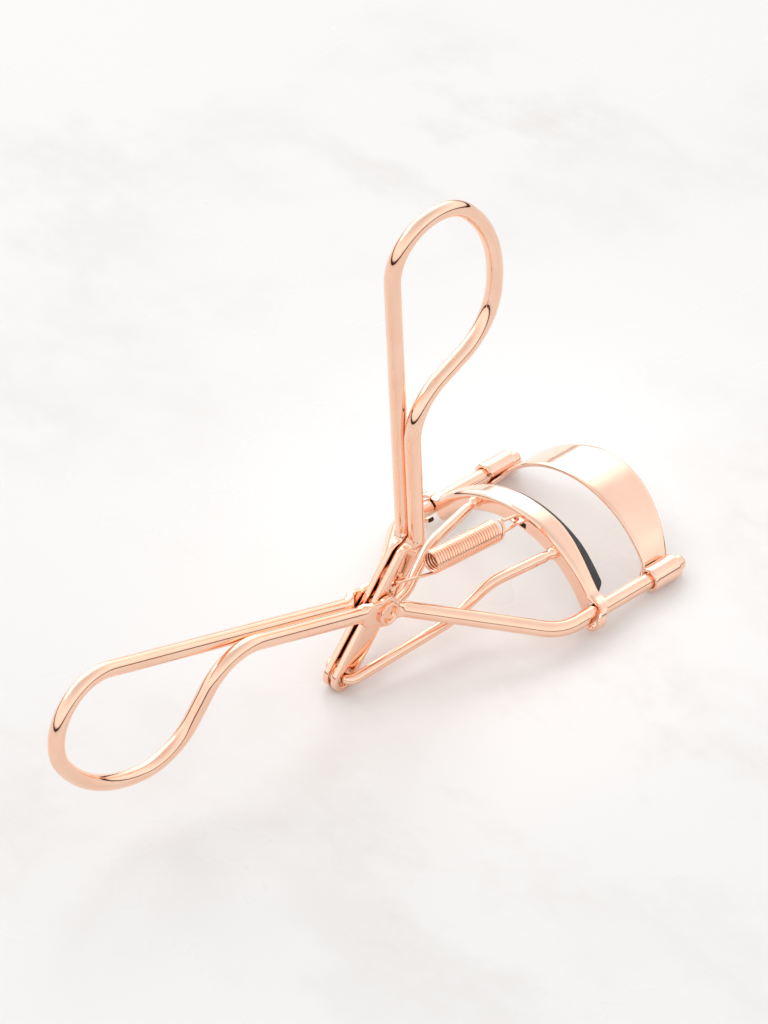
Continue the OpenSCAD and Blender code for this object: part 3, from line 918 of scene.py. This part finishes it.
def spring():
    """The coil runs between its two legs, which ride on the bodies at its ends."""
    n = COIL_TURNS * 30
    leg_y, leg_z = -1.72, -1.5              # where the rear leg joins the coil
    a0 = math.atan2(leg_y - SPRING_Y, leg_z)
    start, end = COIL_START, COIL_START + COIL_LEN

    def on_coil(x, a):
        return on_spring(x, SPRING_Y + COIL_MEAN * math.sin(a), COIL_MEAN * math.cos(a))

    path = []
    for i in range(n + 1):
        t = i / n
        path.append(on_coil(start + COIL_WIRE + (COIL_LEN - 2 * COIL_WIRE) * t,
                            a0 + 2 * math.pi * COIL_TURNS * t))
    rings = [squircle(COIL_WIRE, COIL_WIRE, 2, 10)] * len(path)
    verts, faces = sweep(path, transported_frames(path, SPRING_DIR), rings)
    coil = piece("spring_coil_wound", verts, faces, None, SPRING_GOLD,
                 ("spring_coil",), sharp=60)
    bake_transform(coil)

    rear = filleted([on_coil(start + COIL_WIRE, a0), on_spring(start - 0.6, leg_y, leg_z + 0.1),
                     on_spring(0.2, leg_y, 0), on_spring(0.2, 1.9, 0)],
                    [0.4, 0.4], step=12, straight_step=1.2)
    leg("spring_rear_leg", rear, COIL_WIRE, "spring_rear", "spring_rear_hook")

    # The last turn opens up, then a long loop reaches through the lug.
    rise = 2 * math.pi - a0 % (2 * math.pi)
    opened = [on_coil(end - COIL_WIRE + 0.95 * smooth(k / 14), a0 + rise * k / 14)
              for k in range(15)]
    corners = ((end + 1.5, 1.25), (SPAN - 0.7, 1.0), (SPAN + 0.15, 0.78),
               (SPAN + 0.15, -0.78), (SPAN - 0.7, -1.0), (end + 0.5, -1.3))
    loop = filleted([opened[-1]] + [on_spring(x, SPRING_Y, z) for x, z in corners],
                    [0.6, 0.8, 0.35, 0.35, 0.8], step=12, straight_step=0.8)
    leg("spring_front_loop", opened[:-1] + loop, COIL_WIRE * 0.92, "spring_front",
        "spring_front_hook")


spring()


# ---------------------------------------------------------------- stage, light, camera
FLOOR_PALE, FLOOR_VEIN = (0.715, 0.715, 0.71), (0.645, 0.625, 0.61)
FLOOR_HALF, FLOOR_Z = 3.0, -0.00005


def node_math(tree, operation, *values):
    node = tree.nodes.new("ShaderNodeMath")
    node.operation = operation
    for value, slot in zip(values, node.inputs):
        tree.links.new(value, slot)
    return node.outputs[0]


def floor():
    """Pale stone with soft clouded veins."""
    mesh = bpy.data.meshes.new("floor")
    h = FLOOR_HALF
    mesh.from_pydata([(-h, -h, 0), (h, -h, 0), (h, h, 0), (-h, h, 0)], [], [(0, 1, 2, 3)])
    obj = bpy.data.objects.new("floor", mesh)
    obj.location.z = FLOOR_Z
    bpy.context.scene.collection.objects.link(obj)
    mat, tree, bsdf = new_material("pale_stone")
    cloud = noise(tree, 9, 5.0, 0.6)
    vein = noise(tree, 13, 7.0, 0.66, stretch=(1.0, 0.7, 1.0))
    ridge = node_math(tree, "ABSOLUTE", remap(tree, vein, 0.0, 1.0, -1.0, 1.0))
    strength = node_math(tree, "MULTIPLY", remap(tree, ridge, 0.0, 0.14, 1.0, 0.0),
                         remap(tree, cloud, 0.45, 0.68, 0.0, 1.0))
    tree.links.new(mix_colours(tree, strength, FLOOR_PALE, FLOOR_VEIN),
                   bsdf.inputs["Base Color"])
    tree.links.new(remap(tree, cloud, 0.3, 0.7, 0.24, 0.32), bsdf.inputs["Roughness"])
    bsdf.inputs["Specular IOR Level"].default_value = 0.3
    mesh.materials.append(mat)


floor()


def area(name, location, target, size, power, colour=(1, 1, 1)):
    data = bpy.data.lights.new(name, "AREA")
    data.shape = "RECTANGLE"
    data.size, data.size_y = size
    data.energy = power
    data.color = colour
    obj = bpy.data.objects.new(name, data)
    obj.location = location
    obj.rotation_euler = (Vector(target) - Vector(location)).to_track_quat("-Z", "Y").to_euler()
    bpy.context.scene.collection.objects.link(obj)
    return obj


area("window", (-0.28, 0.80, 0.66), (PIVOT.x, 0, 0.01), (0.42, 0.34), 1.6)
# Light thrown down by the plating: it lifts the floor under the link and under the jaws.
BOUNCE_HEIGHT = 0.042
for spot, size, power, colour in (
        ((0.022, -0.005), (0.036, 0.026), 0.0046, (1.0, 0.80, 0.72)),
        ((0.054, 0.011), (0.028, 0.024), 0.0044, (1.0, 0.96, 0.94))):
    bounce = area("plating_bounce", (*spot, BOUNCE_HEIGHT), (*spot, 0.0), size, power, colour)
    bounce.visible_glossy = bounce.visible_camera = False
    bounce.data.use_shadow = False

# The studio by height, from the horizon to straight up: a dark strip low down, then soft walls.
STUDIO = (
    (0.0, (0.05, 0.022, 0.016)),
    (0.065, (0.09, 0.04, 0.03)),
    (0.13, (1.12, 1.08, 1.06)),
    (0.40, (1.32, 1.30, 1.29)),
    (0.65, (1.14, 1.13, 1.13)),
    (1.0, (0.86, 0.86, 0.86)),
)
STUDIO_LEVEL = 0.94
GLOW_WAY, GLOW_INNER, GLOW_OUTER, GLOW_LEVEL = (0.42, 0.76, 0.50), 14, 42, 1.2
PAPER = (0.83, 0.82, 0.815)


def world():
    """A pale studio with a bright glow behind the tool; a level view sees plain pale paper."""
    w = bpy.data.worlds.new("studio")
    bpy.context.scene.world = w
    w.use_nodes = True
    tree = w.node_tree
    tree.nodes.clear()
    coord = tree.nodes.new("ShaderNodeTexCoord").outputs["Generated"]
    split = tree.nodes.new("ShaderNodeSeparateXYZ")
    ramp = tree.nodes.new("ShaderNodeValToRGB")
    tree.links.new(coord, split.inputs[0])
    tree.links.new(split.outputs["Z"], ramp.inputs["Fac"])
    stops = ramp.color_ramp.elements
    for stop, (place_at, colour) in zip(stops, (STUDIO[0], STUDIO[-1])):
        stop.position, stop.color = place_at, (*colour, 1)
    for place_at, colour in STUDIO[1:-1]:
        stops.new(place_at).color = (*colour, 1)

    # The glow fades out between two angles from its direction.
    dot = tree.nodes.new("ShaderNodeVectorMath")
    dot.operation = "DOT_PRODUCT"
    tree.links.new(coord, dot.inputs[0])
    dot.inputs[1].default_value = Vector(GLOW_WAY).normalized()
    level = remap(tree, dot.outputs["Value"], cosd(GLOW_OUTER), cosd(GLOW_INNER), 0.0, GLOW_LEVEL)
    level.node.interpolation_type = "SMOOTHSTEP"
    glow = tree.nodes.new("ShaderNodeMix")
    glow.data_type, glow.blend_type = "RGBA", "ADD"
    glow.inputs["Factor"].default_value = 1.0
    tree.links.new(ramp.outputs["Color"], glow.inputs["A"])
    tree.links.new(level, glow.inputs["B"])

    studio, paper = (tree.nodes.new("ShaderNodeBackground") for _ in range(2))
    tree.links.new(glow.outputs["Result"], studio.inputs["Color"])
    studio.inputs["Strength"].default_value = STUDIO_LEVEL
    paper.inputs["Color"].default_value = (*PAPER, 1)
    seen = tree.nodes.new("ShaderNodeMixShader")
    light_path = tree.nodes.new("ShaderNodeLightPath")
    tree.links.new(light_path.outputs["Is Camera Ray"], seen.inputs[0])
    tree.links.new(studio.outputs[0], seen.inputs[1])
    tree.links.new(paper.outputs[0], seen.inputs[2])
    out = tree.nodes.new("ShaderNodeOutputWorld")
    tree.links.new(seen.outputs[0], out.inputs[0])


world()


PHOTO_W, PHOTO_H = 768, 1024
SENSOR = 36.0


def camera():
    """The view as found for the object: its direction and distance are given in the tool frame."""
    phi, elev, nose, dist, focal_px = 44.5, 41.2, 5.8, 1040.0, 6803.56
    aim_px = (389.5, 613.0)                # where the point (0, -3.8, 0) is seen
    fwd = Vector((cosd(phi) * cosd(elev), sind(phi) * cosd(elev), -sind(elev)))
    right = Vector((sind(phi), -cosd(phi), 0))
    up = right.cross(fwd)
    dx, dy = (aim_px[0] - PHOTO_W / 2) / focal_px, -(aim_px[1] - PHOTO_H / 2) / focal_px
    spot = Vector((0, -3.8, 0)) - dist * (fwd + dx * right + dy * up)
    turn = Matrix.Rotation(-math.radians(nose), 3, "Y")
    spot = turn @ spot + Vector((-0.9, 0, 1.1))
    rot = TOOL.to_3x3().normalized()
    m = Matrix([rot @ (turn @ v) for v in (right, up, -fwd)]).transposed().to_4x4()
    m.translation = at_tool(spot)
    data = bpy.data.cameras.new("camera")
    data.sensor_fit, data.sensor_width = "AUTO", SENSOR
    data.lens = SENSOR * focal_px / PHOTO_H
    data.clip_start, data.clip_end = 0.05, 20
    cam = bpy.data.objects.new("camera", data)
    cam.matrix_world = m
    bpy.context.scene.collection.objects.link(cam)
    bpy.context.scene.camera = cam


camera()
bpy.context.scene.view_settings.view_transform = "Standard"
